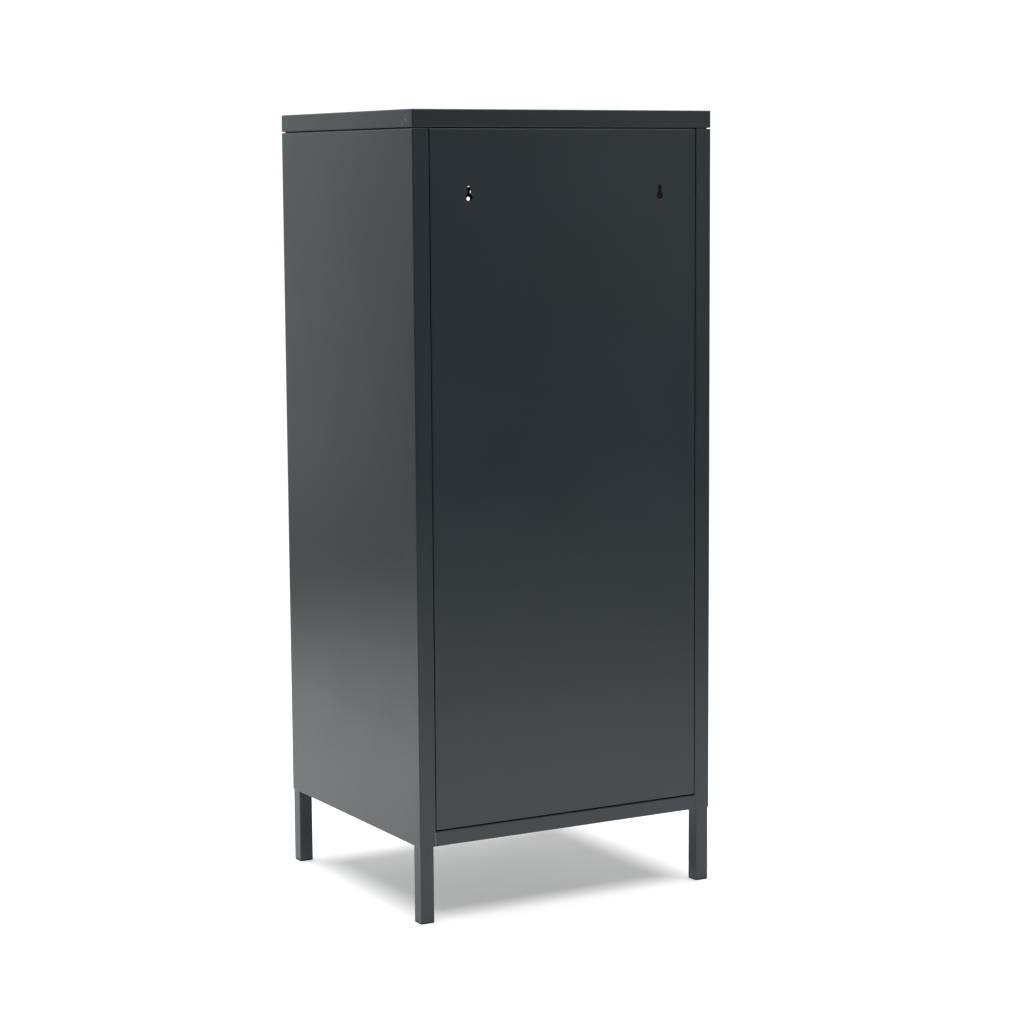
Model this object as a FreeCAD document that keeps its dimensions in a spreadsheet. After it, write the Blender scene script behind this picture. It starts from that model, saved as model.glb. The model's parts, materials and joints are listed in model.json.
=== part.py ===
# Tall steel chest of four drawers on four square legs.
#
# Row frame: millimetres, +Z up, feet on Z = 0, drawers open towards -Y, the back panel faces +Y.
# The origin is at the bottom centre of the whole box, drawer pulls included, so every sub-part
# is drawn about the middle of the carcass and then moved back by half the reach of the pulls.
# "Right" is +X and "left" is -X. Drawer 1 is the top one.
import FreeCAD, Part
import math
import os

import Sketcher

Vector = FreeCAD.Vector

# Driving dimensions: alias, value, what it is.
DIMENSIONS = [
    ("width", 460.0, "carcass width"),
    ("depth", 405.0, "carcass depth without the pulls"),
    ("height", 1080.0, "floor to the top of the cap"),
    ("base_height", 104.5, "floor to the lower edge of the carcass"),
    ("carcass_sheet", 1.0, "sheet thickness of the carcass"),
    ("carcass_bend", 1.5, "outer radius of the carcass bends"),
    ("flange_width", 24.0, "side panel folded round to the front and to the back"),
    ("flange_return", 12.0, "fold behind each flange"),
    ("panel_return", 18.0, "fold at the top and the bottom of a side panel"),
    ("cap_lip", 23.5, "height of the cap's folded edge"),
    ("cap_gap", 1.5, "shadow gap under the cap"),
    ("cap_return", 12.0, "fold under the cap's edge"),
    ("weld_mark_radius", 3.0, "shallow spot-weld mark on the cap's side edges"),
    ("weld_mark_depth", 0.2, "shallow spot-weld mark on the cap's side edges"),
    ("rail_height", 20.0, "height of the floor panel's folded edge"),
    ("rail_end_gap", 0.05, "floor panel edge to side panel flange"),
    ("back_gap", 0.8, "back panel to side panel flange"),
    ("back_foot_gap", 1.5, "back panel to floor panel"),
    ("back_return", 11.2, "fold round the back panel, measured inside"),
    ("leg_tube", 20.0, "square leg tube"),
    ("leg_wall", 1.2, "wall of the leg tube"),
    ("leg_overlap", 60.0, "length of leg inside the carcass"),
    ("leg_notch", 0.5, "room round a leg where it passes the floor panel"),
    ("foot_plate", 2.0, "visible thickness of a foot"),
    ("foot_inset", 0.2, "foot edge inside the tube's outer face"),
    ("foot_plug", 12.0, "depth of a foot's plug"),
    ("foot_fit", 0.2, "plug to tube wall"),
    ("keyhole_spacing", 295.0, "between the two hanging keyholes"),
    ("keyhole_height", 965.4, "floor to the centre of a keyhole's round part"),
    ("keyhole_radius", 5.25, "round part of a keyhole"),
    ("keyhole_slot", 5.5, "width of a keyhole's slot"),
    ("keyhole_rise", 15.2, "round part's centre to the top of the slot"),
    ("upright_width", 30.0, "width of an upright that carries the slides"),
    ("upright_sheet", 1.2, "sheet thickness of an upright"),
    ("upright_front", 26.5, "carcass front to the front upright"),
    ("upright_rear", 332.5, "carcass front to the rear upright"),
    ("upright_headroom", 25.0, "top of an upright to the carcass top"),
    ("top_rail", 20.0, "section of the two rails under the cap"),
    ("top_rail_rise", 4.0, "middle of a top rail above its ends, inside the cap"),
    ("top_rail_play", 0.5, "raised middle of a top rail to the side panels' upper folds"),
    ("top_rail_front", 15.5, "carcass front or back to a top rail"),
    ("drawer_sheet", 0.8, "sheet thickness of the drawers"),
    ("drawer_bend", 1.2, "outer radius of the drawer bends"),
    ("front_setback", 0.5, "drawer front behind the carcass front"),
    ("front_depth", 14.0, "depth of the pan that makes a drawer front"),
    ("front_side_gap", 2.0, "drawer front to side panel flange"),
    ("front_end_gap", 2.5, "above the top front and below the bottom one"),
    ("front_gap", 3.0, "between two drawer fronts"),
    ("hole_radius", 3.0, "perforation"),
    ("hole_pitch", 11.6, "perforation centre to centre, staggered by 60 degrees"),
    ("field_base", 35.6, "drawer front's lower edge to the first row of holes"),
    ("stud_radius", 4.5, "weld nut behind a drawer front"),
    ("stud_height", 3.0, "weld nut behind a drawer front"),
    ("tray_lift", 8.0, "drawer front's lower edge to the tray"),
    ("tray_height", 108.0, "height of the tray"),
    ("tray_back", 362.5, "carcass front to the tray's rear wall"),
    ("hem_height", 6.0, "folded safety edge round the tray"),
    ("hem_width", 2.0, "folded safety edge round the tray"),
    ("window_margin", 12.3, "tray corner to the window behind the perforations"),
    ("window_foot", 18.0, "height of tray wall below the window"),
    ("window_head", 8.0, "height of tray wall above the window"),
    ("slide_back", 206.5, "carcass middle to the back of an outer slide member"),
    ("slide_thickness", 12.7, "thickness of a closed slide"),
    ("slide_height", 45.0, "height of an outer slide member"),
    ("slide_sheet", 1.2, "sheet thickness of the slide members"),
    ("slide_play", 0.4, "between two slide members"),
    ("slide_front", 16.5, "carcass front to the slides"),
    ("slide_length", 350.0, "length of a closed slide"),
    ("slide_lift", 42.0, "tray bottom to the slide's middle"),
    ("pull_reach", 25.5, "pull's face in front of the carcass"),
    ("pull_spacing", 128.0, "between the two feet of a pull"),
    ("pull_bar", 8.0, "square bar of a pull"),
    ("pull_bend", 5.0, "outer corner radius of a pull"),
    ("pull_drop", 27.5, "pull's middle below the top of the drawer front"),
    ("pull_thread", 12.0, "depth of the threaded hole in a pull"),
    ("screw_radius", 2.0, "all screws"),
    ("screw_clearance", 2.4, "radius of the holes that the screws pass"),
    ("head_radius", 4.0, "all screws"),
    ("head_height", 2.6, "all screws"),
    ("long_screw", 11.0, "under the head of a pull screw"),
    ("short_screw", 2.6, "under the head of a drawer front screw"),
    ("panel_screw", 8.0, "under the head of a cap or back panel screw"),
    ("seat_width", 15.0, "raised strip on a side panel's upper fold, on which the cap rests"),
    ("seat_end", 4.0, "carcass front or back to the end of a seat"),
    ("cap_screw_inset", 8.0, "carcass side to a cap screw"),
    ("cap_screw_reach", 120.0, "carcass middle to a cap screw"),
    ("front_screw_inset", 6.3, "tray corner to a drawer front screw"),
    ("front_screw_low", 13.0, "tray bottom to the lower front screws"),
    ("front_screw_high", 92.0, "tray bottom to the upper front screws"),
    ("back_screw_inset", 6.5, "carcass back to a back panel screw"),
]
DRAWER_COUNT = 4
HOLE_COLUMNS = 31
HOLE_ROWS = 14
BACK_SCREW_HEIGHTS = ["220", "590", "960"]
# Spot-weld marks on the cap: from the middle of the carcass, and above the foot of the cap.
WELD_MARKS = [("185", "12"), ("173.5", "6"), ("-187", "10.5")]

document = FreeCAD.newDocument("chest_of_drawers")
sizes = document.addObject("Spreadsheet::Sheet", "sizes")
for row, (alias, value, meaning) in enumerate(DIMENSIONS, start=1):
    sizes.set(f"A{row}", meaning)
    sizes.set(f"B{row}", str(value))
    sizes.setAlias(f"B{row}", alias)
document.recompute()

# Places shared by several sub-parts, as expressions on the sheet.
SIDE = "sizes.width / 2"
SIDE_INNER = f"({SIDE} - sizes.carcass_sheet)"
REAR = "sizes.depth / 2"
REAR_INNER = f"({REAR} - sizes.carcass_sheet)"
FLANGE_EDGE = f"({SIDE} - sizes.flange_width)"
BASE = "sizes.base_height"
FLOOR = "(sizes.base_height + sizes.rail_height)"
CAP_FOOT = "(sizes.height - sizes.cap_lip)"
CARCASS_TOP = f"({CAP_FOOT} - sizes.cap_gap)"
LEG_OUTER = SIDE_INNER
LEG_INNER = f"({SIDE_INNER} - sizes.leg_tube)"
FRONT_HEIGHT = (
    f"(({CARCASS_TOP} - {FLOOR} - 2 * sizes.front_end_gap"
    f" - {DRAWER_COUNT - 1} * sizes.front_gap) / {DRAWER_COUNT})"
)
DRAWER_PITCH = f"({FRONT_HEIGHT} + sizes.front_gap)"
FRONT_TOP = f"({CARCASS_TOP} - sizes.front_end_gap)"
FRONT_FOOT = f"({FRONT_TOP} - {FRONT_HEIGHT})"
FRONT_FACE = f"(sizes.front_setback - {REAR})"
FRONT_INSIDE = f"({FRONT_FACE} + sizes.drawer_sheet)"
FRONT_HALF = f"({FLANGE_EDGE} - sizes.front_side_gap)"
TRAY_SIDE = "(sizes.slide_back - sizes.slide_thickness)"
TRAY_FRONT = f"({FRONT_INSIDE} + sizes.stud_height)"
TRAY_REAR = f"(sizes.tray_back - {REAR})"
TRAY_FOOT = f"({FRONT_FOOT} + sizes.tray_lift)"
TRAY_TOP = f"({TRAY_FOOT} + sizes.tray_height)"
SLIDE_MIDDLE = f"({TRAY_FOOT} + sizes.slide_lift)"
SLIDE_START = f"(sizes.slide_front - {REAR})"
SLIDE_END = f"({SLIDE_START} + sizes.slide_length)"
PULL_FACE = f"(-{REAR} - sizes.pull_reach)"
PULL_MIDDLE = f"({FRONT_TOP} - sizes.pull_drop)"
PULL_FOOT = "sizes.pull_spacing / 2"
CAP_SCREW_X = f"({SIDE} - sizes.cap_screw_inset)"
FRONT_SCREW_X = f"({TRAY_SIDE} - sizes.front_screw_inset)"
FRONT_SCREW_Z = [f"{TRAY_FOOT} + sizes.front_screw_low", f"{TRAY_FOOT} + sizes.front_screw_high"]
BACK_SCREW_Y = f"({REAR} - sizes.back_screw_inset)"
BACK_EDGE = f"({FLANGE_EDGE} - sizes.back_gap)"
ROW_SHIFT = "sizes.pull_reach / 2"

PLANES = {"X": "YZ_Plane", "Y": "XZ_Plane", "Z": "XY_Plane"}
sub_parts = []


def new_body(label):
    """Starts a body that is drawn about the carcass middle and sits in the row frame."""
    body = document.addObject("PartDesign::Body", label)
    body.Label = label
    body.setExpression("Placement.Base.y", ROW_SHIFT)
    return body


def keep(label, item):
    """Names an object as a sub-part of its own, to be written at the end."""
    item.Label = label
    sub_parts.append(item)
    return item


def attached_sketch(body, name, axis, low, high):
    """Sketch across an axis, at the end from which its normal runs through low to high."""
    sketch = body.newObject("Sketcher::SketchObject", name)
    origin_plane = next(item for item in body.Origin.OriginFeatures if item.Role == PLANES[axis])
    sketch.AttachmentSupport = [(origin_plane, "")]
    sketch.MapMode = "FlatFace"
    # The XZ plane faces -Y, so across Y the sketch lies at the high end.
    start = f"-({high})" if axis == "Y" else low
    sketch.setExpression("AttachmentOffset.Base.z", start)
    return sketch


def bind(sketch, kind, geometry, point, expression):
    """Measures a point of the sketch from its origin and binds the distance."""
    index = sketch.addConstraint(Sketcher.Constraint(kind, -1, 1, geometry, point, 5.0))
    sketch.setExpression(f"Constraints[{index}]", expression)


def draw_rectangle(sketch, left, bottom, right, top):
    first = len(sketch.Geometry)
    corners = [Vector(0, 0, 0), Vector(9, 0, 0), Vector(9, 9, 0), Vector(0, 9, 0)]
    sides = [Part.LineSegment(corners[i], corners[(i + 1) % 4]) for i in range(4)]
    sketch.addGeometry(sides, False)
    for side in range(4):
        following = first + (side + 1) % 4
        sketch.addConstraint(Sketcher.Constraint("Coincident", first + side, 2, following, 1))
        direction = "Vertical" if side % 2 else "Horizontal"
        sketch.addConstraint(Sketcher.Constraint(direction, first + side))
    bind(sketch, "DistanceX", first, 1, left)
    bind(sketch, "DistanceY", first, 1, bottom)
    bind(sketch, "DistanceX", first + 1, 2, right)
    bind(sketch, "DistanceY", first + 1, 2, top)


def draw_circle(sketch, across, along, radius):
    index = len(sketch.Geometry)
    sketch.addGeometry(Part.Circle(Vector(9, 9, 0), Vector(0, 0, 1), 1.0), False)
    bind(sketch, "DistanceX", index, 3, across)
    bind(sketch, "DistanceY", index, 3, along)
    constraint = sketch.addConstraint(Sketcher.Constraint("Radius", index, 1.0))
    sketch.setExpression(f"Constraints[{constraint}]", radius)


def pad(body, name, sketch, low, high):
    feature = body.newObject("PartDesign::Pad", name)
    feature.Profile = sketch
    feature.setExpression("Length", f"({high}) - ({low})")
    document.recompute()
    return feature


def pocket(body, name, sketch, low, high):
    """Cuts along the sketch's normal and makes sure that metal came away."""
    volume = body.Tip.Shape.Volume
    feature = body.newObject("PartDesign::Pocket", name)
    feature.Profile = sketch
    feature.Reversed = True
    feature.setExpression("Length", f"({high}) - ({low})")
    document.recompute()
    if feature.Shape.Volume > volume - 1e-3:
        raise RuntimeError(f"{body.Label}: {name} removed nothing")
    return feature


def add_block(body, name, x_range, y_range, z_range):
    sketch = attached_sketch(body, f"{name}_outline", "Z", *z_range)
    draw_rectangle(sketch, x_range[0], y_range[0], x_range[1], y_range[1])
    return pad(body, name, sketch, *z_range)


def cut_block(body, name, x_range, y_range, z_range):
    sketch = attached_sketch(body, f"{name}_outline", "Z", *z_range)
    draw_rectangle(sketch, x_range[0], y_range[0], x_range[1], y_range[1])
    return pocket(body, name, sketch, *z_range)


def add_discs(body, name, axis, centres, radius, low, high):
    sketch = attached_sketch(body, f"{name}_outline", axis, low, high)
    for across, along in centres:
        draw_circle(sketch, across, along, radius)
    return pad(body, name, sketch, low, high)


def drill(body, name, axis, centres, radius, low, high):
    sketch = attached_sketch(body, f"{name}_outline", axis, low, high)
    for across, along in centres:
        draw_circle(sketch, across, along, radius)
    return pocket(body, name, sketch, low, high)


def round_edges(body, name, feature, radius, chosen):
    """Rounds the edges for which chosen(middle, direction) holds."""
    names = []
    for index, edge in enumerate(feature.Shape.Edges, start=1):
        start = edge.Vertexes[0].Point
        end = edge.Vertexes[-1].Point
        if chosen((start + end) / 2, (end - start).normalize()):
            names.append(f"Edge{index}")
    rounded = body.newObject("PartDesign::Fillet", name)
    rounded.Base = (feature, names)
    rounded.setExpression("Radius", radius)
    document.recompute()
    return rounded


def both(expression):
    """A range that is symmetric about zero."""
    return (f"-({expression})", expression)


def mirrored(label, source):
    """The left-hand piece of a right-hand one."""
    mirror = document.addObject("Part::Mirroring", label)
    mirror.Source = source
    mirror.Normal = Vector(1, 0, 0)
    return keep(label, mirror)


def lowered(label, source, step):
    """The same piece on a lower drawer."""
    copy = document.addObject("Part::Compound", label)
    copy.Links = [source]
    copy.setExpression("Placement.Base.z", f"-{step} * {DRAWER_PITCH}")
    return keep(label, copy)


def make_side_panel():
    """One sheet folded round to the front and the back, with returns all round."""
    body = new_body("side_panel_right")
    block = add_block(body, "sheet", (FLANGE_EDGE, SIDE), both(REAR), (BASE, CARCASS_TOP))
    middle_x = (sizes.width - sizes.flange_width) / 2
    round_edges(
        body, "bends", block, "sizes.carcass_bend",
        lambda middle, direction: abs(direction.z) > 0.5
        or (abs(direction.y) > 0.5 and middle.x > middle_x),
    )
    cut_block(
        body, "hollow",
        (f"{FLANGE_EDGE} + sizes.carcass_sheet", SIDE_INNER),
        both(REAR_INNER),
        (f"{BASE} + sizes.carcass_sheet", f"{CARCASS_TOP} - sizes.carcass_sheet"),
    )
    cut_block(
        body, "open_side",
        (FLANGE_EDGE, f"{SIDE_INNER} - sizes.panel_return"),
        both(f"({REAR_INNER} - sizes.flange_return)"),
        (BASE, CARCASS_TOP),
    )
    leg_start = f"({REAR_INNER} - sizes.leg_tube - sizes.leg_notch)"
    for name, y_range in (
        ("rear_leg_notch", (leg_start, REAR_INNER)),
        ("front_leg_notch", (f"-{REAR_INNER}", f"-{leg_start}")),
    ):
        cut_block(
            body, name, (f"{FLANGE_EDGE} + sizes.carcass_sheet", SIDE_INNER), y_range,
            (BASE, f"{BASE} + sizes.carcass_sheet"),
        )
    cap_screws = [(CAP_SCREW_X, reach) for reach in both("sizes.cap_screw_reach")]
    seat_x = f"({SIDE_INNER} - sizes.panel_return)"
    add_block(
        body, "cap_seat", (seat_x, f"{seat_x} + sizes.seat_width"),
        both(f"({REAR} - sizes.seat_end)"), (CARCASS_TOP, CAP_FOOT),
    )
    drill(
        body, "cap_screw_holes", "Z", cap_screws, "sizes.screw_clearance",
        f"{CARCASS_TOP} - sizes.carcass_sheet", CAP_FOOT,
    )
    drill(
        body, "back_screw_holes", "X",
        [(BACK_SCREW_Y, height) for height in BACK_SCREW_HEIGHTS], "sizes.screw_clearance",
        FLANGE_EDGE, f"{FLANGE_EDGE} + sizes.carcass_sheet",
    )
    keep("side_panel_right", body)
    mirrored("side_panel_left", body)


def make_back_panel():
    """Shallow pan between the rear flanges, with two keyholes to hang it up by."""
    body = new_body("back_panel")
    foot = f"({FLOOR} + sizes.back_foot_gap)"
    inner_face = f"({REAR_INNER} - sizes.back_return)"
    block = add_block(body, "sheet", both(BACK_EDGE), (inner_face, REAR), (foot, CARCASS_TOP))
    rear_y = sizes.depth / 2
    round_edges(
        body, "bends", block, "sizes.carcass_bend",
        lambda middle, direction: abs(direction.y) > 0.5 or middle.y > rear_y - 0.1,
    )
    cut_block(
        body, "hollow",
        both(f"({BACK_EDGE} - sizes.carcass_sheet)"),
        (inner_face, REAR_INNER),
        (f"{foot} + sizes.carcass_sheet", f"{CARCASS_TOP} - sizes.carcass_sheet"),
    )
    sides = both("sizes.keyhole_spacing / 2")
    slot_end = "(sizes.keyhole_height + sizes.keyhole_rise - sizes.keyhole_slot / 2)"
    drill(
        body, "keyhole_rounds", "Y", [(side, "sizes.keyhole_height") for side in sides],
        "sizes.keyhole_radius", REAR_INNER, REAR,
    )
    drill(
        body, "keyhole_ends", "Y", [(side, slot_end) for side in sides],
        "sizes.keyhole_slot / 2", REAR_INNER, REAR,
    )
    for name, side in zip(("left_keyhole_slot", "right_keyhole_slot"), sides):
        cut_block(
            body, name,
            (f"{side} - sizes.keyhole_slot / 2", f"{side} + sizes.keyhole_slot / 2"),
            (REAR_INNER, REAR),
            ("sizes.keyhole_height", slot_end),
        )
    for name, low in (
        ("left_screw_holes", f"-{BACK_EDGE}"),
        ("right_screw_holes", f"{BACK_EDGE} - sizes.carcass_sheet"),
    ):
        drill(
            body, name, "X", [(BACK_SCREW_Y, height) for height in BACK_SCREW_HEIGHTS],
            "sizes.screw_clearance", low, f"{low} + sizes.carcass_sheet",
        )
    keep("back_panel", body)


def make_bottom_panel():
    """Floor of the chest. Its front and rear edges fold down as the lower rails."""
    body = new_body("bottom_panel")
    block = add_block(body, "sheet", both(SIDE_INNER), both(REAR), (BASE, FLOOR))
    top_z = sizes.base_height + sizes.rail_height
    round_edges(
        body, "bends", block, "sizes.carcass_bend",
        lambda middle, direction: abs(direction.x) > 0.5 and middle.z > top_z - 0.1,
    )
    cut_block(
        body, "underside", both(SIDE_INNER), both(REAR_INNER),
        (BASE, f"{FLOOR} - sizes.carcass_sheet"),
    )
    rail_end = f"({FLANGE_EDGE} - sizes.rail_end_gap)"
    notch_start = f"({REAR_INNER} - sizes.leg_tube - sizes.leg_notch)"
    x_ranges = {"right": (rail_end, SIDE), "left": (f"-{SIDE}", f"-{rail_end}")}
    y_ranges = {"rear": (notch_start, REAR), "front": (f"-{REAR}", f"-{notch_start}")}
    for x_name, x_range in x_ranges.items():
        for y_name, y_range in y_ranges.items():
            cut_block(body, f"{y_name}_{x_name}_notch", x_range, y_range, (BASE, FLOOR))
    keep("bottom_panel", body)


def make_top_cap():
    """Lid folded from one sheet, with a return under each edge."""
    body = new_body("top_cap")
    block = add_block(body, "sheet", both(SIDE), both(REAR), (CAP_FOOT, "sizes.height"))
    round_edges(
        body, "bends", block, "sizes.carcass_bend", lambda middle, direction: True
    )
    cut_block(
        body, "hollow", both(SIDE_INNER), both(REAR_INNER),
        (f"{CAP_FOOT} + sizes.carcass_sheet", "sizes.height - sizes.carcass_sheet"),
    )
    cut_block(
        body, "open_underside",
        both(f"({SIDE_INNER} - sizes.cap_return)"),
        both(f"({REAR_INNER} - sizes.cap_return)"),
        (CAP_FOOT, f"{CAP_FOOT} + sizes.carcass_sheet"),
    )
    centres = [(x, y) for x in both(CAP_SCREW_X) for y in both("sizes.cap_screw_reach")]
    drill(
        body, "cap_screw_holes", "Z", centres, "sizes.screw_clearance",
        CAP_FOOT, f"{CAP_FOOT} + sizes.carcass_sheet",
    )
    marks = [(y, f"{CAP_FOOT} + {rise}") for y, rise in WELD_MARKS]
    for name, low in (
        ("right_weld_marks", f"{SIDE} - sizes.weld_mark_depth"),
        ("left_weld_marks", f"-{SIDE}"),
    ):
        drill(
            body, name, "X", marks, "sizes.weld_mark_radius",
            low, f"{low} + sizes.weld_mark_depth",
        )
    keep("top_cap", body)


def make_top_rail(label, y_range, inner_range):
    """Channel that ties the side panels together. Its middle rises into the cap."""
    body = new_body(label)
    end_top = f"({CARCASS_TOP} - sizes.carcass_sheet)"
    foot = f"({end_top} - sizes.top_rail)"
    top = f"({end_top} + sizes.top_rail_rise)"
    add_block(body, "sheet", both(SIDE_INNER), y_range, (foot, end_top))
    middle = f"({SIDE_INNER} - sizes.panel_return - sizes.top_rail_play)"
    block = add_block(body, "raised_middle", both(middle), y_range, (end_top, top))
    top_z = block.Shape.BoundBox.ZMax
    round_edges(
        body, "bends", block, "sizes.carcass_bend",
        lambda middle, direction: abs(direction.x) > 0.5 and middle.z > top_z - 0.1,
    )
    cut_block(
        body, "channel", both(SIDE_INNER), inner_range,
        (foot, f"{end_top} - sizes.carcass_sheet"),
    )
    cut_block(
        body, "raised_channel", both(f"({middle} - sizes.carcass_sheet)"), inner_range,
        (foot, f"{top} - sizes.carcass_sheet"),
    )
    keep(label, body)


def make_top_rails():
    near = f"({REAR} - sizes.top_rail_front)"
    far = f"({near} - sizes.top_rail)"
    near_inner = f"({near} - sizes.carcass_sheet)"
    far_inner = f"({far} + sizes.carcass_sheet)"
    make_top_rail("top_rail_rear", (far, near), (far_inner, near_inner))
    make_top_rail("top_rail_front", (f"-{near}", f"-{far}"), (f"-{near_inner}", f"-{far_inner}"))


def make_leg(end, y_low, y_high):
    """Square tube inside the carcass corner, and the plastic foot that closes it."""
    body = new_body(f"leg_{end}_right")
    top = f"({BASE} + sizes.leg_overlap)"
    block = add_block(
        body, "tube", (LEG_INNER, LEG_OUTER), (y_low, y_high), ("sizes.foot_plate", top)
    )
    round_edges(
        body, "tube_corners", block, "sizes.carcass_bend",
        lambda middle, direction: abs(direction.z) > 0.5,
    )
    cut_block(
        body, "bore",
        (f"{LEG_INNER} + sizes.leg_wall", f"{LEG_OUTER} - sizes.leg_wall"),
        (f"{y_low} + sizes.leg_wall", f"{y_high} - sizes.leg_wall"),
        ("sizes.foot_plate", top),
    )
    keep(f"leg_{end}_right", body)
    mirrored(f"leg_{end}_left", body)

    foot = new_body(f"foot_{end}_right")
    plate = add_block(
        foot, "plate",
        (f"{LEG_INNER} + sizes.foot_inset", f"{LEG_OUTER} - sizes.foot_inset"),
        (f"{y_low} + sizes.foot_inset", f"{y_high} - sizes.foot_inset"),
        ("0", "sizes.foot_plate"),
    )
    round_edges(
        foot, "plate_corners", plate, "sizes.carcass_bend",
        lambda middle, direction: abs(direction.z) > 0.5,
    )
    plug_inset = "(sizes.leg_wall + sizes.foot_fit)"
    add_block(
        foot, "plug",
        (f"{LEG_INNER} + {plug_inset}", f"{LEG_OUTER} - {plug_inset}"),
        (f"{y_low} + {plug_inset}", f"{y_high} - {plug_inset}"),
        ("sizes.foot_plate / 2", "sizes.foot_plate + sizes.foot_plug"),
    )
    keep(f"foot_{end}_right", foot)
    mirrored(f"foot_{end}_left", foot)


def make_legs():
    inner = f"({REAR_INNER} - sizes.leg_tube)"
    make_leg("rear", inner, REAR_INNER)
    make_leg("front", f"-{REAR_INNER}", f"-{inner}")


def make_upright(end, start):
    """Channel on the side panel to which the outer slide members are fixed."""
    body = new_body(f"upright_{end}_right")
    y_low = f"({start} - {REAR})"
    y_high = f"({y_low} + sizes.upright_width)"
    z_range = (FLOOR, f"{CARCASS_TOP} - sizes.upright_headroom")
    block = add_block(body, "sheet", ("sizes.slide_back", SIDE_INNER), (y_low, y_high), z_range)
    inner_x = sizes.slide_back
    round_edges(
        body, "bends", block, "sizes.carcass_bend",
        lambda middle, direction: abs(direction.z) > 0.5 and middle.x < inner_x + 0.1,
    )
    cut_block(
        body, "channel",
        ("sizes.slide_back + sizes.upright_sheet", SIDE_INNER),
        (f"{y_low} + sizes.upright_sheet", f"{y_high} - sizes.upright_sheet"),
        z_range,
    )
    keep(f"upright_{end}_right", body)
    mirrored(f"upright_{end}_left", body)


def make_slide_member(label, x_range, half_height, cavity, end):
    """Channel of a telescopic slide. The cavity leaves a web on one side of it."""
    body = new_body(label)
    z_range = (f"{SLIDE_MIDDLE} - {half_height}", f"{SLIDE_MIDDLE} + {half_height}")
    y_range = (SLIDE_START, end)
    block = add_block(body, "channel", x_range, y_range, z_range)
    web_is_outside = cavity[0] == x_range[0]
    box = block.Shape.BoundBox
    web_x = box.XMax if web_is_outside else box.XMin
    round_edges(
        body, "bends", block, "sizes.slide_sheet",
        lambda middle, direction: abs(direction.y) > 0.5 and abs(middle.x - web_x) < 0.1,
    )
    cut_block(
        body, "race", cavity, y_range,
        (f"{z_range[0]} + sizes.slide_sheet", f"{z_range[1]} - sizes.slide_sheet"),
    )
    return body


def make_slides():
    """Three nested members on each side of each drawer."""
    sheet = "sizes.slide_sheet"
    step = f"({sheet} + sizes.slide_play)"
    back = "sizes.slide_back"
    outer_tip = f"({TRAY_SIDE} + {sheet} + 2 * sizes.slide_play)"
    half = "sizes.slide_height / 2"
    outer = make_slide_member(
        "slide_1_right_outer", (outer_tip, back), f"({half})", (outer_tip, f"{back} - {sheet}"),
        SLIDE_END,
    )
    middle_tip = f"({TRAY_SIDE} + {step})"
    middle_back = f"({back} - {step})"
    middle = make_slide_member(
        "slide_1_right_middle", (middle_tip, middle_back), f"({half} - {step})",
        (middle_tip, f"{middle_back} - {sheet}"), SLIDE_END,
    )
    inner_tip = f"({middle_back} - {step})"
    inner = make_slide_member(
        "slide_1_right_inner", (TRAY_SIDE, inner_tip), f"({half} - 2 * {step})",
        (f"{TRAY_SIDE} + {sheet}", inner_tip), TRAY_REAR,
    )
    for member, body in (("outer", outer), ("middle", middle), ("inner", inner)):
        right = keep(f"slide_1_right_{member}", body)
        left = mirrored(f"slide_1_left_{member}", body)
        for step_down in range(1, DRAWER_COUNT):
            number = step_down + 1
            lowered(f"slide_{number}_right_{member}", right, step_down)
            lowered(f"slide_{number}_left_{member}", left, step_down)


def make_perforation_pins():
    """Cylinders in staggered rows, one for each hole of a drawer front."""
    front_height = (
        sizes.height - sizes.cap_lip - sizes.cap_gap - sizes.base_height - sizes.rail_height
        - 2 * sizes.front_end_gap - (DRAWER_COUNT - 1) * sizes.front_gap
    ) / DRAWER_COUNT
    carcass_top = sizes.height - sizes.cap_lip - sizes.cap_gap
    first_row = carcass_top - sizes.front_end_gap - front_height + sizes.field_base
    row_pitch = sizes.hole_pitch * math.sqrt(3) / 2
    face = sizes.front_setback - sizes.depth / 2
    pins = []
    for hole_row in range(HOLE_ROWS):
        count = HOLE_COLUMNS - hole_row % 2
        for column in range(count):
            x = (column - (count - 1) / 2) * sizes.hole_pitch
            start = Vector(x, face - sizes.drawer_sheet, first_row + hole_row * row_pitch)
            pins.append(
                Part.makeCylinder(
                    sizes.hole_radius, 3 * sizes.drawer_sheet, start, Vector(0, 1, 0)
                )
            )
    field = document.addObject("Part::Feature", "perforation_pins")
    field.Shape = Part.makeCompound(pins)
    field.setExpression("Placement.Base.y", ROW_SHIFT)
    return field


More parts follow.
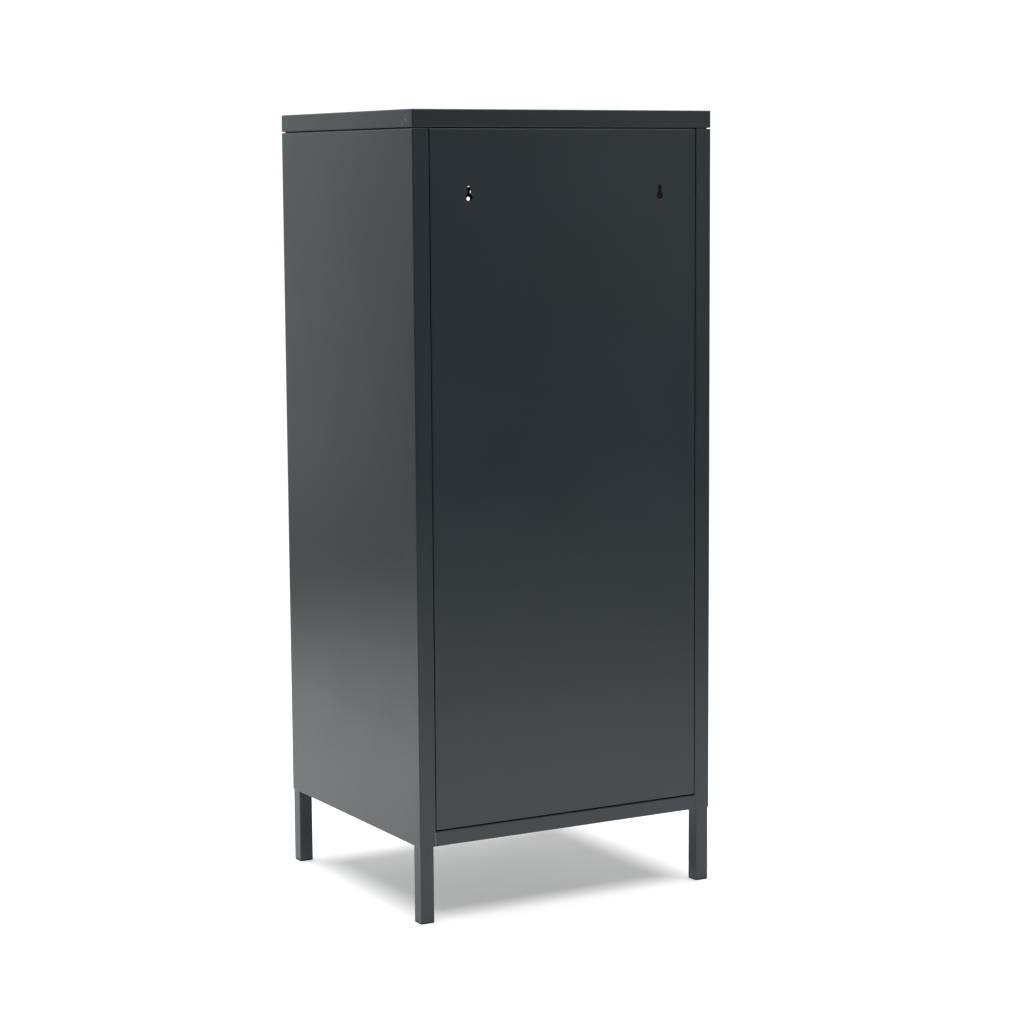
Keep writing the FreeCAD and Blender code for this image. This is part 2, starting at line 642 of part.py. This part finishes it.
def make_drawer_front():
    """Shallow pan with a perforated face, weld nuts inside and holes for the pull."""
    body = new_body("front_pan")
    back = f"({FRONT_FACE} + sizes.front_depth)"
    block = add_block(
        body, "sheet", both(FRONT_HALF), (FRONT_FACE, back), (FRONT_FOOT, FRONT_TOP)
    )
    face_y = sizes.front_setback - sizes.depth / 2
    round_edges(
        body, "bends", block, "sizes.drawer_bend",
        lambda middle, direction: abs(direction.y) > 0.5 or middle.y < face_y + 0.1,
    )
    cut_block(
        body, "hollow",
        both(f"({FRONT_HALF} - sizes.drawer_sheet)"),
        (FRONT_INSIDE, back),
        (f"{FRONT_FOOT} + sizes.drawer_sheet", f"{FRONT_TOP} - sizes.drawer_sheet"),
    )
    centres = [(x, z) for x in both(FRONT_SCREW_X) for z in FRONT_SCREW_Z]
    add_discs(
        body, "weld_nuts", "Y", centres, "sizes.stud_radius",
        f"{FRONT_INSIDE} - sizes.drawer_sheet / 2", TRAY_FRONT,
    )
    drill(
        body, "weld_nut_threads", "Y", centres, "sizes.screw_clearance",
        FRONT_INSIDE, TRAY_FRONT,
    )
    drill(
        body, "pull_screw_holes", "Y", [(x, PULL_MIDDLE) for x in both(PULL_FOOT)],
        "sizes.screw_clearance", FRONT_FACE, FRONT_INSIDE,
    )
    front = document.addObject("Part::Cut", "drawer_1_front")
    front.Base = body
    front.Tool = make_perforation_pins()
    document.recompute()
    return front


def make_tray():
    """Folded box with a hemmed edge and a window behind the perforations."""
    body = new_body("drawer_1_tray")
    y_range = (TRAY_FRONT, TRAY_REAR)
    block = add_block(body, "sheet", both(TRAY_SIDE), y_range, (TRAY_FOOT, TRAY_TOP))
    foot_z = block.Shape.BoundBox.ZMin
    round_edges(
        body, "bends", block, "sizes.drawer_bend",
        lambda middle, direction: abs(direction.z) > 0.5 or middle.z < foot_z + 0.1,
    )
    cut_block(
        body, "inside",
        both(f"({TRAY_SIDE} - sizes.drawer_sheet)"),
        (f"{TRAY_FRONT} + sizes.drawer_sheet", f"{TRAY_REAR} - sizes.drawer_sheet"),
        (f"{TRAY_FOOT} + sizes.drawer_sheet", f"{TRAY_TOP} - sizes.hem_height"),
    )
    cut_block(
        body, "mouth",
        both(f"({TRAY_SIDE} - sizes.hem_width)"),
        (f"{TRAY_FRONT} + sizes.hem_width", f"{TRAY_REAR} - sizes.hem_width"),
        (f"{TRAY_TOP} - 2 * sizes.hem_height", TRAY_TOP),
    )
    cut_block(
        body, "window",
        both(f"({TRAY_SIDE} - sizes.window_margin)"),
        (TRAY_FRONT, f"{TRAY_FRONT} + sizes.drawer_sheet"),
        (f"{TRAY_FOOT} + sizes.window_foot", f"{TRAY_TOP} - sizes.window_head"),
    )
    drill(
        body, "front_screw_holes", "Y",
        [(x, z) for x in both(FRONT_SCREW_X) for z in FRONT_SCREW_Z],
        "sizes.screw_clearance", TRAY_FRONT, f"{TRAY_FRONT} + sizes.drawer_sheet",
    )
    return body


def make_pull():
    """Handle bent from square bar, threaded from behind."""
    body = new_body("drawer_1_pull")
    half_bar = "sizes.pull_bar / 2"
    z_range = (f"{PULL_MIDDLE} - {half_bar}", f"{PULL_MIDDLE} + {half_bar}")
    block = add_block(
        body, "bar", both(f"({PULL_FOOT} + {half_bar})"), (PULL_FACE, FRONT_FACE), z_range
    )
    face_y = block.Shape.BoundBox.YMin
    round_edges(
        body, "outer_bends", block, "sizes.pull_bend",
        lambda middle, direction: abs(direction.z) > 0.5 and middle.y < face_y + 0.1,
    )
    grip = cut_block(
        body, "grip", both(f"({PULL_FOOT} - {half_bar})"),
        (f"{PULL_FACE} + sizes.pull_bar", FRONT_FACE), z_range,
    )
    grip_y = face_y + sizes.pull_bar
    round_edges(
        body, "inner_bends", grip, "sizes.pull_bend / 2",
        lambda middle, direction: abs(direction.z) > 0.5 and abs(middle.y - grip_y) < 0.1,
    )
    drill(
        body, "threads", "Y", [(x, PULL_MIDDLE) for x in both(PULL_FOOT)],
        "sizes.screw_clearance", f"{FRONT_FACE} - sizes.pull_thread", FRONT_FACE,
    )
    return body


def make_screw(name, length):
    """Cylinder-head screw along +Z, with the underside of its head at the origin."""
    head = document.addObject("Part::Cylinder", f"{name}_head")
    head.setExpression("Radius", "sizes.head_radius")
    head.setExpression("Height", "sizes.head_height")
    head.setExpression("Placement.Base.z", "-sizes.head_height")
    rounded = document.addObject("Part::Fillet", f"{name}_rounded_head")
    document.recompute()
    rounded.Base = head
    rim = next(
        index for index, edge in enumerate(head.Shape.Edges, start=1)
        if edge.Closed and edge.CenterOfMass.z < -sizes.head_height + 0.1
    )
    rounded.Edges = [(rim, sizes.head_height / 3, sizes.head_height / 3)]
    shank = document.addObject("Part::Cylinder", f"{name}_shank")
    shank.setExpression("Radius", "sizes.screw_radius")
    shank.setExpression("Height", length)
    screw = document.addObject("Part::Fuse", name)
    screw.Base = rounded
    screw.Tool = shank
    return screw


def placed_screw(master, name, place, rotation):
    """A copy of a screw at a place given by three expressions."""
    copy = document.addObject("Part::Compound", name)
    copy.Links = [master]
    copy.Placement = FreeCAD.Placement(Vector(), rotation)
    copy.setExpression("Placement.Base.x", place[0])
    copy.setExpression("Placement.Base.y", f"({place[1]}) + {ROW_SHIFT}")
    copy.setExpression("Placement.Base.z", place[2])
    return copy


def screw_group(label, screws):
    group = document.addObject("Part::Compound", label)
    group.Links = screws
    return group


def make_cabinet_screws():
    """Four screws up into the cap and six out through the back panel's returns."""
    master = make_screw("panel_screw", "sizes.panel_screw")
    upwards = FreeCAD.Rotation()
    screws = []
    for x in both(CAP_SCREW_X):
        for y in both("sizes.cap_screw_reach"):
            place = (x, y, f"{CARCASS_TOP} - sizes.carcass_sheet")
            screws.append(placed_screw(master, f"cap_screw_{len(screws)}", place, upwards))
    for x, turn in zip(both(f"({BACK_EDGE} - sizes.carcass_sheet)"), (-90, 90)):
        outwards = FreeCAD.Rotation(Vector(0, 1, 0), turn)
        for height in BACK_SCREW_HEIGHTS:
            place = (x, BACK_SCREW_Y, height)
            screws.append(placed_screw(master, f"back_screw_{len(screws)}", place, outwards))
    keep("cabinet_screws", screw_group("cabinet_screws", screws))


def make_drawer_screws():
    """Two long screws into the pull and four short ones into the weld nuts."""
    forwards = FreeCAD.Rotation(Vector(1, 0, 0), 90)
    long_master = make_screw("pull_screw", "sizes.long_screw")
    short_master = make_screw("front_screw", "sizes.short_screw")
    screws = []
    for x in both(PULL_FOOT):
        place = (x, FRONT_INSIDE, PULL_MIDDLE)
        screws.append(placed_screw(long_master, f"pull_screw_{len(screws)}", place, forwards))
    for x in both(FRONT_SCREW_X):
        for z in FRONT_SCREW_Z:
            place = (x, f"{TRAY_FRONT} + sizes.drawer_sheet", z)
            screws.append(placed_screw(short_master, f"front_screw_{len(screws)}", place, forwards))
    return screw_group("drawer_1_screws", screws)


def make_drawers():
    pieces = {
        "front": make_drawer_front(),
        "tray": make_tray(),
        "pull": make_pull(),
        "screws": make_drawer_screws(),
    }
    for piece, source in pieces.items():
        keep(f"drawer_1_{piece}", source)
        for step_down in range(1, DRAWER_COUNT):
            lowered(f"drawer_{step_down + 1}_{piece}", source, step_down)


def check_and_write():
    """Stops on any failed object, then writes one file for each sub-part."""
    document.recompute()
    for item in document.Objects:
        if "Invalid" in item.State or "Error" in item.State:
            raise RuntimeError(f"{item.Label} failed: {item.State}")
    os.makedirs("parts", exist_ok=True)
    for item in sub_parts:
        shape = item.Shape
        if shape.isNull() or not shape.isValid() or not shape.Solids:
            raise RuntimeError(f"{item.Label} has no valid solid")
        shape.exportStep(os.path.join("parts", f"{item.Label}.step"))
    print(f"{len(sub_parts)} sub-parts written")


make_side_panel()
make_back_panel()
make_bottom_panel()
make_top_cap()
make_top_rails()
make_legs()
make_upright("front", "sizes.upright_front")
make_upright("rear", "sizes.upright_rear")
make_slides()
make_drawers()
make_cabinet_screws()
check_and_write()
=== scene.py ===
import json
import math

import bpy
from mathutils import Matrix, Vector


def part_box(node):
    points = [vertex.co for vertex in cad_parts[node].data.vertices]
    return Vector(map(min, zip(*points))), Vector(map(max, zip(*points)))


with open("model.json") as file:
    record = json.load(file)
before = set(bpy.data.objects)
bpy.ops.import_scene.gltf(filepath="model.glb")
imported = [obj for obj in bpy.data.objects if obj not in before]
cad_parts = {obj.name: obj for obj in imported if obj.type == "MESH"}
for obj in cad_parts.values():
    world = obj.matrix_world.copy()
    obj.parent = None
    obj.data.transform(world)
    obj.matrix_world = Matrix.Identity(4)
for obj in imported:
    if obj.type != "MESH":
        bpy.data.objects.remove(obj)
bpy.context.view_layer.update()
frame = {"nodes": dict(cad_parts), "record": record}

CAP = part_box("top_cap")
CAP_FOOT = CAP[0][2]
CARCASS_MIDDLE_Y = (CAP[0][1] + CAP[1][1]) / 2

# The camera stands behind the chest, to its right, a little below the height of the cap.
CAMERA_PLACE = Vector((1.8085, CARCASS_MIDDLE_Y + 3.2686, 0.9983))
CAMERA_HEADING = math.radians(29.32)
CAMERA_TILT = math.radians(-7.31)
CAMERA_ROLL = math.radians(-0.38)
CAMERA_LENS_MM = 93.2
CAMERA_SENSOR_MM = 36.0
CAMERA_CLIP = (0.1, 100.0)


def shaded(colour, share):
    return tuple(channel * share for channel in colour)


# Powder coat. Shades are shares of the coat's own colour.
ANTHRACITE = (0.0170, 0.0255, 0.0310)
TRAY_COLOUR = shaded(ANTHRACITE, 0.92)
PULL_COLOUR = shaded(ANTHRACITE, 0.85)
COAT_ROUGHNESS = 0.31
TRAY_ROUGHNESS = 0.34
PULL_ROUGHNESS = 0.29
DRIFT_SHADES = (0.93, 1.08)
SPECK_SHADE = 2.2
SPECK_STRENGTH = 0.10
# Painted shade: narrow seams take a darker share of the coat's colour, where little light
# gets in.
SEAM_PAINTED_SHADE = 0.15
SEAM_ROUGHNESS = 0.9
SEAM_DEPTH = 0.004
EDGE_ROUNDING = 0.0010
# Painted highlight: a paler colour along edges, where light would glint on the rounded
# paint.
EDGE_HIGHLIGHT_COLOUR = (0.11, 0.115, 0.12)
EDGE_HIGHLIGHT_STRENGTH = 0.6
PEEL_HEIGHT = 0.0004
GRAIN_HEIGHT = 0.00008
COAT_ROUGHNESS_SPREAD = 0.03

# Spot-weld marks on the cap's sides: along Y from the carcass's middle, up from the
# cap's foot, and the ring's radius.
WELD_MARKS = (
    (0.1850, 0.0120, 0.0035),
    (0.1735, 0.0060, 0.0028),
    (-0.1870, 0.0105, 0.0032),
)
WELD_MARK_WIDTH = 0.0012
WELD_MARK_COLOUR = (0.16, 0.17, 0.175)
WELD_MARK_STRENGTH = 0.55
WELD_MARK_HEIGHT = 0.0003

# Zinc-plated strip and screws.
SLIDE_ZINC = (0.44, 0.45, 0.47)
SCREW_ZINC = (0.42, 0.42, 0.44)
SLIDE_ROUGHNESS = 0.34
SCREW_ROUGHNESS = 0.30
ZINC_SHADE = 0.86
STREAK_STRETCH = (14.0, 0.6, 14.0)
STREAK_HEIGHT = 0.0002
STREAK_SMOOTHER = 0.08
STREAK_ROUGHER = 0.10

# Moulded plastic.
FOOT_BLACK = (0.006, 0.006, 0.0065)
SCUFF_SHADE = 1.9
MOULD_GRAIN_HEIGHT = 0.0001
PLASTIC_ROUGHNESS = (0.55, 0.70)
PLASTIC_SPECULAR = 0.15

# Floor and room.
FLOOR_SOLID_RADIUS = 1.5
FLOOR_FADE_RADIUS = 3.2
FLOOR_MARGIN = 0.2
FLOOR_COLOUR = (0.86, 0.86, 0.86)
FLOOR_ROUGHNESS = 0.75
FLOOR_GLOW = 0.35
WHITE = (1.0, 1.0, 1.0)
BLACK = (0.0, 0.0, 0.0)
ROOM_HORIZON = (0.30, 0.30, 0.30)
ROOM_ABOVE = (0.02, 0.02, 0.02)
BACKDROP = (1.1, 1.1, 1.1)

# Softboxes: name, place, target, size and radiance.
SOFTBOXES = (
    ("overhead_softbox", (0.0, 0.0, 3.2), (0.0, 0.0, 0.0), (4.0, 4.0), 4.2),
    ("front_overhead_softbox", (1.5, -2.5, 3.0), (0.0, -0.2, 0.5), (2.5, 2.5), 1.13),
    ("right_softbox", (0.95, -2.7, 1.0), (0.23, 0.0, 0.6), (1.4, 1.8), 0.86),
    ("rear_softbox", (-2.4, 2.8, 1.2), (0.0, 0.2, 0.6), (1.6, 1.6), 0.50),
    ("front_softbox", (-0.9, -3.2, 1.5), (0.0, -0.2, 0.6), (1.5, 1.8), 1.3),
    ("left_softbox", (-2.6, -2.2, 1.4), (0.0, -0.2, 0.6), (1.6, 1.6), 1.6),
)


# ---------------------------------------------------------------- node helpers

class Recipe:
    """Short way to wire a material's node tree."""

    def __init__(self, name):
        self.material = bpy.data.materials.new(name)
        self.material.use_nodes = True
        self.tree = self.material.node_tree
        self.tree.nodes.clear()
        self.shader = self.node("ShaderNodeBsdfPrincipled")
        output = self.node("ShaderNodeOutputMaterial")
        self.link(self.shader.outputs["BSDF"], output.inputs["Surface"])
        self.place = self.node("ShaderNodeTexCoord").outputs["Object"]

    def node(self, kind, **settings):
        made = self.tree.nodes.new(kind)
        for key, value in settings.items():
            setattr(made, key, value)
        return made

    def link(self, source, target):
        self.tree.links.new(source, target)

    def feed(self, source, name):
        """Links a value or colour to the shader's socket of that name."""
        self.link(source, self.shader.inputs[name])

    def set(self, name, value):
        """Sets the shader's own socket of that name."""
        self.shader.inputs[name].default_value = value

    def noise(self, scale, detail, roughness, stretch=None):
        texture = self.node("ShaderNodeTexNoise")
        texture.inputs["Scale"].default_value = scale
        texture.inputs["Detail"].default_value = detail
        texture.inputs["Roughness"].default_value = roughness
        place = self.place
        if stretch:
            mapping = self.node("ShaderNodeMapping")
            mapping.inputs["Scale"].default_value = stretch
            self.link(place, mapping.inputs["Vector"])
            place = mapping.outputs["Vector"]
        self.link(place, texture.inputs["Vector"])
        return texture.outputs["Fac"]

    def ramp(self, source, first, second):
        """Blends two colours, each given as (position, colour)."""
        ramp = self.node("ShaderNodeValToRGB")
        for element, stop in zip(ramp.color_ramp.elements, (first, second)):
            element.position = stop[0]
            element.color = (*stop[1], 1.0)
        self.link(source, ramp.inputs["Fac"])
        return ramp.outputs["Color"]

    def spread(self, source, low, high, from_low=0.0, from_high=1.0):
        """Maps a value from one range to another, clamped."""
        mapped = self.node("ShaderNodeMapRange")
        mapped.inputs["From Min"].default_value = from_low
        mapped.inputs["From Max"].default_value = from_high
        mapped.inputs["To Min"].default_value = low
        mapped.inputs["To Max"].default_value = high
        self.link(source, mapped.inputs["Value"])
        return mapped.outputs["Result"]

    def math(self, operation, *values):
        node = self.node("ShaderNodeMath", operation=operation)
        for socket, value in zip(node.inputs, values):
            if isinstance(value, (int, float)):
                socket.default_value = value
            else:
                self.link(value, socket)
        return node.outputs["Value"]

    def mix(self, factor, first, second):
        """Mixes two colours, each a socket or a plain colour."""
        mixer = self.node("ShaderNodeMix", data_type="RGBA")
        sockets = {socket.identifier: socket for socket in mixer.inputs}
        self.link(factor, sockets["Factor_Float"])
        for socket, value in ((sockets["A_Color"], first), (sockets["B_Color"], second)):
            if isinstance(value, tuple):
                socket.default_value = (*value, 1.0)
            else:
                self.link(value, socket)
        return next(s for s in mixer.outputs if s.identifier == "Result_Color")

    def bump(self, height, strength, distance, below=None):
        bump = self.node("ShaderNodeBump")
        bump.inputs["Strength"].default_value = strength
        bump.inputs["Distance"].default_value = distance
        self.link(height, bump.inputs["Height"])
        if below is not None:
            self.link(below, bump.inputs["Normal"])
        return bump.outputs["Normal"]

    def rounded(self, radius):
        """Normal that turns smoothly round sharp edges, as paint does."""
        bevel = self.node("ShaderNodeBevel", samples=6)
        bevel.inputs["Radius"].default_value = radius
        return bevel.outputs["Normal"]

    def edge(self, rounded_normal):
        """1 along edges, 0 on flats: how far the rounded normal leaves the plain one.
        It masks the painted edge highlight.
        """
        plain = self.node("ShaderNodeNewGeometry").outputs["Normal"]
        turn = self.node("ShaderNodeVectorMath", operation="DOT_PRODUCT")
        self.link(rounded_normal, turn.inputs[0])
        self.link(plain, turn.inputs[1])
        return self.spread(turn.outputs["Value"], 0.0, 1.0, from_low=0.99, from_high=0.85)

    def open_air(self, distance):
        """0 deep in a seam that is narrow for the distance, 1 in the open: masks the
        painted shade and the duller roughness in seams.
        """
        hollow = self.node("ShaderNodeAmbientOcclusion", samples=6)
        hollow.inputs["Distance"].default_value = distance
        return self.spread(hollow.outputs["AO"], 0.0, 1.0, from_low=0.15, from_high=0.75)

    def ring(self, centre, radius, width):
        """1 on a ring in the YZ plane round a place on the object, 0 away from it."""
        flat = self.node("ShaderNodeVectorMath", operation="MULTIPLY")
        flat.inputs[1].default_value = (0.0, 1.0, 1.0)
        self.link(self.place, flat.inputs[0])
        reach = self.node("ShaderNodeVectorMath", operation="DISTANCE")
        self.link(flat.outputs["Vector"], reach.inputs[0])
        reach.inputs[1].default_value = (0.0, *centre)
        offset = self.math("SUBTRACT", reach.outputs["Value"], radius)
        return self.spread(self.math("ABSOLUTE", offset), 1.0, 0.0, 0.0, width)


def powder_coat(name, colour, roughness, weld_marks=()):
    """Satin powder coat: orange peel, fine sparkle, colour drift, dull seams darkened with
    painted shade, and rounded edges with a painted highlight.

    Each weld mark is (y, z, radius): a faint paler ring that a spot weld left.
    """
    recipe = Recipe(name)
    drift = recipe.noise(scale=3.5, detail=3.0, roughness=0.55)
    grain = recipe.noise(scale=2600.0, detail=2.0, roughness=0.6)
    peel = recipe.noise(scale=420.0, detail=2.0, roughness=0.5)
    dark, light = (shaded(colour, share) for share in DRIFT_SHADES)
    base = recipe.ramp(drift, (0.3, dark), (0.7, light))
    speck = recipe.spread(grain, 0.0, SPECK_STRENGTH, from_low=0.45, from_high=0.75)
    base = recipe.mix(speck, base, shaded(colour, SPECK_SHADE))
    soft_edges = recipe.rounded(EDGE_ROUNDING)
    # Painted highlight: edges take a paler colour, as if light glinted on the rounded
    # paint.
    edge = recipe.math("MULTIPLY", recipe.edge(soft_edges), EDGE_HIGHLIGHT_STRENGTH)
    base = recipe.mix(edge, base, EDGE_HIGHLIGHT_COLOUR)
    normal = recipe.bump(peel, strength=0.10, distance=PEEL_HEIGHT, below=soft_edges)
    normal = recipe.bump(grain, strength=0.12, distance=GRAIN_HEIGHT, below=normal)
    for y, z, radius in weld_marks:
        mark = recipe.ring((y, z), radius, WELD_MARK_WIDTH)
        paler = recipe.math("MULTIPLY", mark, WELD_MARK_STRENGTH)
        base = recipe.mix(paler, base, WELD_MARK_COLOUR)
        normal = recipe.bump(mark, strength=0.5, distance=WELD_MARK_HEIGHT, below=normal)
    open_air = recipe.open_air(SEAM_DEPTH)
    # Painted shade: the colour darkens deep in narrow seams, where little light gets in.
    base = recipe.mix(open_air, shaded(colour, SEAM_PAINTED_SHADE), base)
    recipe.feed(base, "Base Color")
    cloud = recipe.noise(scale=9.0, detail=4.0, roughness=0.6)
    low, high = roughness - COAT_ROUGHNESS_SPREAD, roughness + COAT_ROUGHNESS_SPREAD
    rough = recipe.spread(cloud, low, high, from_low=0.25, from_high=0.75)
    dull = recipe.spread(open_air, SEAM_ROUGHNESS, 0.0)
    recipe.feed(recipe.math("MAXIMUM", rough, dull), "Roughness")
    recipe.feed(normal, "Normal")
    return recipe.material


def zinc(name, colour, roughness):
    """Rolled, zinc-plated strip with streaks along the slide."""
    recipe = Recipe(name)
    streak = recipe.noise(scale=60.0, detail=4.0, roughness=0.6, stretch=STREAK_STRETCH)
    cloud = recipe.noise(scale=24.0, detail=3.0, roughness=0.5)
    base = recipe.ramp(cloud, (0.3, shaded(colour, ZINC_SHADE)), (0.7, colour))
    recipe.feed(base, "Base Color")
    low, high = roughness - STREAK_SMOOTHER, roughness + STREAK_ROUGHER
    recipe.feed(recipe.spread(streak, low, high, from_low=0.3, from_high=0.7), "Roughness")
    recipe.feed(recipe.bump(streak, strength=0.12, distance=STREAK_HEIGHT), "Normal")
    recipe.set("Metallic", 1.0)
    return recipe.material


def moulded_plastic(name, colour):
    """Black moulded plastic with a fine spark-eroded grain and scuffs."""
    recipe = Recipe(name)
    grain = recipe.noise(scale=1800.0, detail=2.0, roughness=0.6)
    scuff = recipe.noise(scale=160.0, detail=5.0, roughness=0.7)
    base = recipe.ramp(scuff, (0.35, colour), (0.75, shaded(colour, SCUFF_SHADE)))
    recipe.feed(base, "Base Color")
    rough = recipe.spread(scuff, *PLASTIC_ROUGHNESS, from_low=0.3, from_high=0.8)
    recipe.feed(rough, "Roughness")
    recipe.feed(recipe.bump(grain, strength=0.25, distance=MOULD_GRAIN_HEIGHT), "Normal")
    recipe.set("Specular IOR Level", PLASTIC_SPECULAR)
    return recipe.material


# ---------------------------------------------------------------- materials on the nodes

CAP_WELD_MARKS = [
    (CARCASS_MIDDLE_Y + along, CAP_FOOT + up, radius) for along, up, radius in WELD_MARKS
]
SLOT_MATERIALS = {
    "carcass": powder_coat("carcass_powder_coat", ANTHRACITE, COAT_ROUGHNESS),
    "drawer_front": powder_coat("drawer_powder_coat", ANTHRACITE, COAT_ROUGHNESS),
    "drawer_tray": powder_coat("tray_powder_coat", TRAY_COLOUR, TRAY_ROUGHNESS),
    "pull": powder_coat("pull_powder_coat", PULL_COLOUR, PULL_ROUGHNESS),
    "zinc_steel": zinc("slide_zinc", SLIDE_ZINC, SLIDE_ROUGHNESS),
    "screws": zinc("screw_zinc", SCREW_ZINC, SCREW_ROUGHNESS),
    "feet": moulded_plastic("foot_plastic", FOOT_BLACK),
}
NODE_MATERIALS = {
    "top_cap": powder_coat(
        "cap_powder_coat", ANTHRACITE, COAT_ROUGHNESS, CAP_WELD_MARKS
    ),
}
slot_of = {part["node"]: part["material_slot"] for part in frame["record"]["subparts"]}
for node, shown in frame["nodes"].items():
    material = NODE_MATERIALS.get(node) or SLOT_MATERIALS[slot_of[node]]
    for material_slot in shown.material_slots:
        material_slot.material = material


# ---------------------------------------------------------------- floor, lights and camera

def make_floor():
    """Plain pale floor that fades out into the white backdrop well away from the chest."""
    side = 2 * (FLOOR_FADE_RADIUS + FLOOR_MARGIN)
    bpy.ops.mesh.primitive_plane_add(size=side, location=(0.0, 0.0, 0.0))
    floor = bpy.context.object
    floor.name = "floor"
    recipe = Recipe("pale_floor")
    recipe.set("Base Color", (*FLOOR_COLOUR, 1.0))
    recipe.set("Roughness", FLOOR_ROUGHNESS)
    recipe.set("Emission Color", (*WHITE, 1.0))
    recipe.set("Emission Strength", FLOOR_GLOW)
    radius = recipe.node("ShaderNodeVectorMath", operation="LENGTH")
    recipe.link(recipe.place, radius.inputs[0])
    fade = recipe.spread(
        radius.outputs["Value"], 1.0, 0.0, FLOOR_SOLID_RADIUS, FLOOR_FADE_RADIUS
    )
    recipe.feed(fade, "Alpha")
    floor.data.materials.append(recipe.material)


def make_world():
    """Dim room with a paler band above the horizon, seen by the camera as white."""
    world = bpy.data.worlds.new("studio")
    world.use_nodes = True
    tree = world.node_tree
    direction = tree.nodes.new("ShaderNodeTexCoord").outputs["Generated"]
    height = tree.nodes.new("ShaderNodeSeparateXYZ")
    tree.links.new(direction, height.inputs["Vector"])
    ramp = tree.nodes.new("ShaderNodeValToRGB")
    elements = ramp.color_ramp.elements
    while len(elements) < 4:
        elements.new(0.5)
    stops = ((0.0, BLACK), (0.01, ROOM_HORIZON), (0.20, ROOM_HORIZON), (0.32, ROOM_ABOVE))
    for element, (position, colour) in zip(elements, stops):
        element.position = position
        element.color = (*colour, 1.0)
    tree.links.new(height.outputs["Z"], ramp.inputs["Fac"])
    path = tree.nodes.new("ShaderNodeLightPath")
    choice = tree.nodes.new("ShaderNodeMix")
    choice.data_type = "RGBA"
    sockets = {socket.identifier: socket for socket in choice.inputs}
    tree.links.new(path.outputs["Is Camera Ray"], sockets["Factor_Float"])
    tree.links.new(ramp.outputs["Color"], sockets["A_Color"])
    sockets["B_Color"].default_value = (*BACKDROP, 1.0)
    result = next(s for s in choice.outputs if s.identifier == "Result_Color")
    tree.links.new(result, tree.nodes["Background"].inputs["Color"])
    bpy.context.scene.world = world


def make_softbox(name, place, target, size, radiance):
    """Soft rectangular lamp of the given radiance, whatever its size."""
    light = bpy.data.lights.new(name, "AREA")
    light.shape = "RECTANGLE"
    light.size, light.size_y = size
    light.energy = radiance * math.pi * size[0] * size[1]
    lamp = bpy.data.objects.new(name, light)
    bpy.context.scene.collection.objects.link(lamp)
    lamp.location = place
    aim = Vector(target) - Vector(place)
    lamp.rotation_euler = aim.to_track_quat("-Z", "Y").to_euler()
    lamp.visible_camera = False


def make_camera():
    camera_data = bpy.data.cameras.new("camera")
    camera_data.lens = CAMERA_LENS_MM
    camera_data.sensor_width = CAMERA_SENSOR_MM
    camera_data.clip_start, camera_data.clip_end = CAMERA_CLIP
    camera = bpy.data.objects.new("camera", camera_data)
    bpy.context.scene.collection.objects.link(camera)
    level = Vector((-math.sin(CAMERA_HEADING), -math.cos(CAMERA_HEADING), 0.0))
    up = Vector((0.0, 0.0, 1.0))
    forward = level * math.cos(CAMERA_TILT) + up * math.sin(CAMERA_TILT)
    right = level.cross(up)
    above = right.cross(forward)
    rolled_right = right * math.cos(CAMERA_ROLL) + above * math.sin(CAMERA_ROLL)
    rolled_up = above * math.cos(CAMERA_ROLL) - right * math.sin(CAMERA_ROLL)
    turn = Matrix((rolled_right, rolled_up, -forward)).transposed().to_4x4()
    camera.matrix_world = Matrix.Translation(CAMERA_PLACE) @ turn
    bpy.context.scene.camera = camera


make_floor()
make_world()
for softbox in SOFTBOXES:
    make_softbox(*softbox)
make_camera()
bpy.context.scene.view_settings.view_transform = "Standard"
